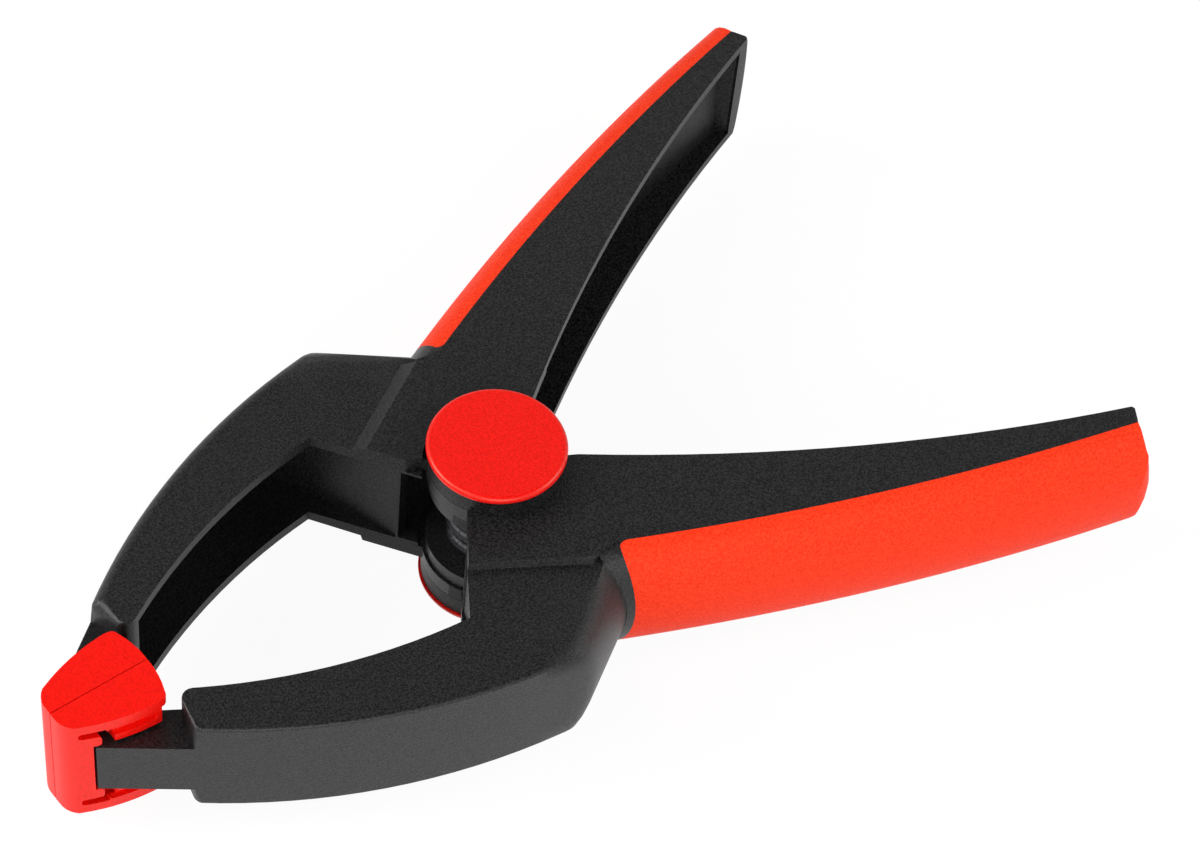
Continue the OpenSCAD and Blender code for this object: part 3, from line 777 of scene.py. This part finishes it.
def choose_painted_shade(bm, side):
    """Gives each face of an arm its black, with painted shade in the hollows and on the walls
    facing the other arm, and says how many line the hollows.
    """
    bm.normal_update()
    for face in bm.faces:
        inward = face.normal.y * TURN[side] < MOUTH_FACING
        face.material_index = MOUTH_SHADE_SLOT if inward else OUTER_SLOT
    shaded_faces = [face for face in bm.faces if in_hollow(face, side)]
    for face in shaded_faces:
        face.material_index = HOLLOW_SHADE_SLOT
    return len(shaded_faces)


# %% Arms
# The radius of each moulding's other edges, and the least turn that is an edge on the arms
EDGE_MM = {"arm": 0.35, "grip": 0.25, "pad": 0.22, "collar": 0.2}
ARM_EDGE_DEG = 28.0

for side in SIDES:
    arm = clean_copy(side + "_arm")
    print(side, "step corners moved", steepen_step(arm, side))
    print(side, "end wall corners moved", thin_end_wall(arm, side))
    print(side, "end bowed", bow_end(arm, side))
    print(side, "handle end edges", round_handle_end(arm, side))
    ends = round_edges(
        arm, END_CORNER_MM, CORNER_CUTS, CORNER_DEG, lambda e: near_end_corner(e, side)
    )
    rims = round_edges(arm, RIM_MM, CORNER_CUTS, CORNER_DEG, lambda e: on_throat_rim(e, side))
    print(side, "end corners", ends, "rim edges", rims)
    for face, radius in BACK_RADIUS_MM.items():
        print(side, "jaw back drawn in", radius, "mm:", round_back(arm, side, face, radius))
    print(side, "arm edges rounded", round_edges(arm, EDGE_MM["arm"], least_deg=ARM_EDGE_DEG))
    print(side, "faces of the hollows", choose_painted_shade(arm, side))
    piece = add_piece(side + "_arm_moulding", arm, side, BLACK, [side + "_arm"])
    # The slots of painted shade: the channels, and the walls facing the other arm
    piece.data.materials.append(HOLLOW_PAINTED_SHADE_BLACK)
    piece.data.materials.append(MOUTH_PAINTED_SHADE_BLACK)

# %% [markdown]
# ## The grips
# A soft grip is moulded over the back of each handle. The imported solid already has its
# shape, so its copy is only bowed at the end, as the arm is, and its edges are softened.

# %% Grips
for side in SIDES:
    grip = clean_copy(side + "_grip")
    print(side, "grip end bowed", bow_end(grip, side))
    print(side, "grip edges rounded", round_edges(grip, EDGE_MM["grip"]))
    add_piece(side + "_grip_skin", grip, side, SOFT_RED, [side + "_grip"])

# %% [markdown]
# ## The pads
# Each jaw ends in a hard red pad that swivels on the arm's trunnions. It rides on a body of
# its own, and its face stays flat, so only its edges are softened.

# %% Pads
for side in SIDES:
    pad = clean_copy(side + "_pad")
    print(side, "pad edges rounded", round_edges(pad, EDGE_MM["pad"]))
    add_piece(side + "_pad_moulding", pad, side + "_pad", PAD_RED, [side + "_pad"])

# %% [markdown]
# ## Caps and collars
# A black collar stands round each end of the pivot, and a plain red cap closes it. The
# record says which arm carries each of them, so no body is written out here. The cap's rim
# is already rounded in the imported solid, and only the collar's edges are softened.

# %% Caps and collars
BODY_OF = {
    name: body for body, names in frame["record"]["behaviour"]["bodies"].items() for name in names
}
for end in ("top", "bottom"):
    collar = clean_copy(end + "_collar")
    print(end, "collar edges rounded", round_edges(collar, EDGE_MM["collar"]))
    body = BODY_OF[end + "_collar"]
    # The collar takes the darker black, as painted shade
    add_piece(end + "_collar_ring", collar, body, RING_PAINTED_SHADE_BLACK, [end + "_collar"])
    cap = clean_copy(end + "_cap")
    add_piece(end + "_cap_disc", cap, BODY_OF[end + "_cap"], CAP_RED, [end + "_cap"])

# %% [markdown]
# ## The parts inside the pivot
# The steel pin, washers and rings and the plastic sleeve have the right shape as packed and
# hardly show, so they stay as they are and only take their finish.

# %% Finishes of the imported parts
PACKED_FINISHES = {
    "pivot_pin": PIN_STEEL, "top_washer": PIN_STEEL, "bottom_washer": PIN_STEEL,
    "top_retaining_ring": RING_STEEL, "bottom_retaining_ring": RING_STEEL,
    "spring_sleeve": BLACK,
}
for name, material in PACKED_FINISHES.items():
    slots = frame["nodes"][name].data.materials
    slots.clear()
    slots.append(material)
    print(name, "finished in", material.name)

# %% [markdown]
# ## The spring
# A torsion spring is one wire: a coil round the sleeve, and a leg at each end that bends
# over against its arm. A ring of points is spun round the pivot with a rise at each step,
# which winds the coil, and then pushed out straight, spun round the bend and pushed out
# again. The upper end is the lower one turned over on the long axis.

# %% Measures of the spring
# The wire, and the coil: its radius and half its rise, both to the middle of the wire
WIRE_MM = 2.6
COIL_MM = 6.9
COIL_HALF_MM = 5.5
COIL_TURNS = 3
# The lower leg: its way, where the coil leaves for it, and its length to the corner
LEG_DEG = 42.0
COIL_FROM_DEG = LEG_DEG + 90
LEG_MM = 20.0
# The foot beyond the corner: its way and length, and how far before the corner it bends
FOOT_DEG = 109.6
FOOT_MM = 4.48
BEND_SET_BACK_MM = 1.9
# How finely the wire is cut
STEPS_PER_TURN = 36
BEND_STEPS = 8
WIRE_SIDES = 14
print("coil, outside", 2 * COIL_MM + WIRE_MM, "mm across")

# %% Tools for a bent tube
def at_angle(deg, radius_mm=1.0, height_mm=0.0):
    """A place round the pivot, in metres from the middle plane, for an angle from the X axis."""
    turn = math.radians(deg)
    return Vector((math.cos(turn) * radius_mm, math.sin(turn) * radius_mm, height_mm)) * MM


def open_end(bm, spot):
    """The ring of open edges nearest to a place."""
    rim = [e for e in bm.edges if e.is_boundary]
    near = min(rim, key=lambda e: (e.verts[0].co - spot).length)
    ring, grown = {near}, True
    while grown:
        verts = {v for e in ring for v in e.verts}
        more = {e for e in rim if e not in ring and (e.verts[0] in verts or e.verts[1] in verts)}
        grown = bool(more)
        ring |= more
    return list(ring)


def push_out(bm, ring, move):
    """Extrudes an open ring of edges by a move, and gives the new ring."""
    out = bmesh.ops.extrude_edge_only(bm, edges=ring)["geom"]
    verts = [g for g in out if isinstance(g, bmesh.types.BMVert)]
    bmesh.ops.translate(bm, verts=verts, vec=move)
    moved = set(verts)
    return [e for e in bm.edges if e.is_boundary and e.verts[0] in moved and e.verts[1] in moved]


# %% Spring
def wind_spring():
    """The lower leg, the coil and the upper leg as one closed tube about the middle plane."""
    bm = bmesh.new()
    sweep = 360 * COIL_TURNS + 2 * (180 - COIL_FROM_DEG)
    steps = round(sweep / 360 * STEPS_PER_TURN)
    start = at_angle(COIL_FROM_DEG, COIL_MM, -COIL_HALF_MM)
    stand = Matrix.Translation(start) @ Matrix.Rotation(math.radians(COIL_FROM_DEG), 4, "Z")
    stand = stand @ Matrix.Rotation(math.radians(90), 4, "X")
    bmesh.ops.create_circle(bm, segments=WIRE_SIDES, radius=WIRE_MM / 2 * MM, matrix=stand)
    bmesh.ops.spin(
        bm, geom=bm.verts[:] + bm.edges[:], cent=(0, 0, 0), axis=(0, 0, 1),
        dvec=(0, 0, 2 * COIL_HALF_MM * MM / steps), angle=math.radians(sweep), steps=steps,
    )
    leg_way = at_angle(LEG_DEG)
    foot_way = at_angle(FOOT_DEG)
    bend = FOOT_DEG - LEG_DEG
    inner = BEND_SET_BACK_MM / math.tan(math.radians(bend / 2))
    for turned in (Matrix.Identity(4), Matrix.Rotation(math.pi, 4, "X")):
        straight = LEG_MM - BEND_SET_BACK_MM
        ring = push_out(bm, open_end(bm, turned @ start), turned @ (leg_way * straight))
        centre = start + leg_way * straight + at_angle(LEG_DEG + 90, inner)
        out = bmesh.ops.spin(
            bm, geom=ring + list({v for e in ring for v in e.verts}), cent=turned @ centre,
            axis=turned @ Vector((0, 0, 1)), dvec=(0, 0, 0), angle=math.radians(bend),
            steps=BEND_STEPS,
        )["geom_last"]
        last = [g for g in out if isinstance(g, bmesh.types.BMEdge)]
        push_out(bm, last, turned @ (foot_way * (FOOT_MM - BEND_SET_BACK_MM)))
    bmesh.ops.remove_doubles(bm, verts=bm.verts[:], dist=SAME_POINT_MM * MM)
    bmesh.ops.holes_fill(bm, edges=[e for e in bm.edges if e.is_boundary], sides=0)
    bmesh.ops.recalc_face_normals(bm, faces=bm.faces[:])
    bmesh.ops.translate(bm, verts=bm.verts[:], vec=(0, 0, PIVOT_Z))
    return bm


spring = wind_spring()
print("spring closed", all(e.is_manifold for e in spring.edges), len(spring.faces), "faces")
spring_piece = add_piece(
    "torsion_spring_wire", spring, None, SPRING_STEEL, ["torsion_spring"],
    sharp_deg=60,
)
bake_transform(spring_piece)

# %% [markdown]
# ## Size
# The pieces stay inside the imported model's box.

# %% Boxes as plain numbers
def plain(box):
    """A box as plain lists of numbers."""
    return [[round(float(x), 6) for x in corner] for corner in box]
